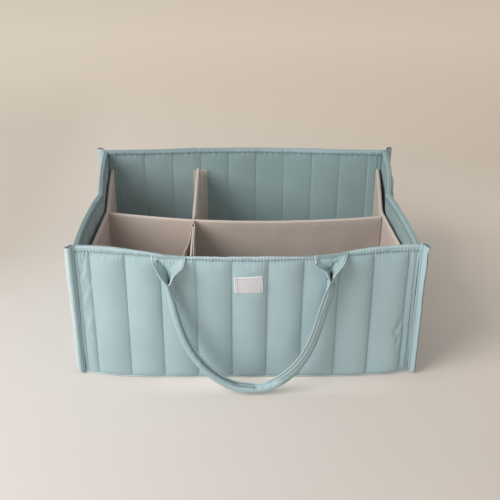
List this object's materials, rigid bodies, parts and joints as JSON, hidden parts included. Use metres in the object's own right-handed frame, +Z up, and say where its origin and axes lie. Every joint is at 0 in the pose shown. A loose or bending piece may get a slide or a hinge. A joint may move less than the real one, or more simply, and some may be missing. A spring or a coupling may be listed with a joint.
{
  "type": "diaper caddy",
  "caption": "Quilted fabric caddy with stitched hem and corner fins, tube strap handles front and rear, and a lift-out divider insert with swinging flaps.",
  "frame": {"origin": "centre of the base's underside, midway between the four corner seams, on the surface it stands on", "axes": "+X along the long side to the right, +Y from the front wall with the label to the back wall, +Z up"},
  "size_m": [0.4174, 0.3739, 0.1797],
  "materials": {
    "outer_fabric": "satiny quilted polyester, pale sage",
    "lining_fabric": "satiny quilted polyester, pale sage",
    "handle_fabric": "folded and stitched strap, pale sage",
    "insert_fabric": "plain matt weave, blush",
    "woven_label": "fine woven ribbon, cream, bare",
    "tape": "hook and loop tape, cream",
    "stiffener": "smooth sheet, cream",
    "board": "plain stiff board",
    "foam": "soft white foam and filler"
  },
  "bodies": {
    "shell": {"front_outer_panel": "outer_fabric", "back_outer_panel": "outer_fabric", "left_outer_panel": "outer_fabric", "right_outer_panel": "outer_fabric", "front_foam_core": "foam", "back_foam_core": "foam", "left_foam_core": "foam", "right_foam_core": "foam", "front_lining": "lining_fabric", "back_lining": "lining_fabric", "left_lining": "lining_fabric", "right_lining": "lining_fabric", "front_hem_binding": "outer_fabric", "back_hem_binding": "outer_fabric", "left_hem_binding": "outer_fabric", "right_hem_binding": "outer_fabric", "base_outer_panel": "outer_fabric", "base_board": "board", "base_lining": "lining_fabric", "corner_fin_front_left": "outer_fabric", "corner_fin_front_right": "outer_fabric", "corner_fin_back_left": "outer_fabric", "corner_fin_back_right": "outer_fabric", "woven_label": "woven_label", "front_loop_tape": "tape", "back_loop_tape": "tape", "front_handle_left_tab": "handle_fabric", "front_handle_right_tab": "handle_fabric", "rear_handle_left_tab": "handle_fabric", "rear_handle_right_tab": "handle_fabric"},
    "front_handle": {"front_handle_strap": "handle_fabric", "front_handle_filler": "foam"},
    "rear_handle": {"rear_handle_strap": "handle_fabric", "rear_handle_filler": "foam"},
    "insert": {"left_end_cover": "insert_fabric", "left_end_front_board": "board", "left_end_rear_board": "board", "right_end_cover": "insert_fabric", "right_end_front_board": "board", "right_end_rear_board": "board", "cross_divider_cover": "insert_fabric", "cross_divider_board": "board"},
    "front_flap": {"front_flap_left_ply": "insert_fabric", "front_flap_right_ply": "insert_fabric", "front_flap_board": "stiffener", "front_flap_hook_tape": "tape"},
    "rear_flap": {"rear_flap_cover": "insert_fabric", "rear_flap_board": "board", "rear_flap_hook_tape": "tape"}
  },
  "joints": [
    {"name": "front_handle_swing", "type": "hinge", "parent": "shell", "child": "front_handle", "pos_m": [0, -0.15903, 0.17905], "axis": [-1, 0, 0], "range_deg": [0, 170]},
    {"name": "rear_handle_swing", "type": "hinge", "parent": "shell", "child": "rear_handle", "pos_m": [0, 0.14995, 0.17905], "axis": [1, 0, 0], "range_deg": [0, 170]},
    {"name": "insert_lift", "type": "slide", "parent": "shell", "child": "insert", "axis": [0, 0, 1], "range_m": [0, 0.19]},
    {"name": "front_flap_swing", "type": "hinge", "parent": "insert", "child": "front_flap", "pos_m": [-0.067, -0.02675, 0], "axis": [0, 0, 1], "range_deg": [-60, 75]},
    {"name": "rear_flap_swing", "type": "hinge", "parent": "insert", "child": "rear_flap", "pos_m": [-0.067, -0.0191, 0], "axis": [0, 0, -1], "range_deg": [-40, 85]}
  ]
}
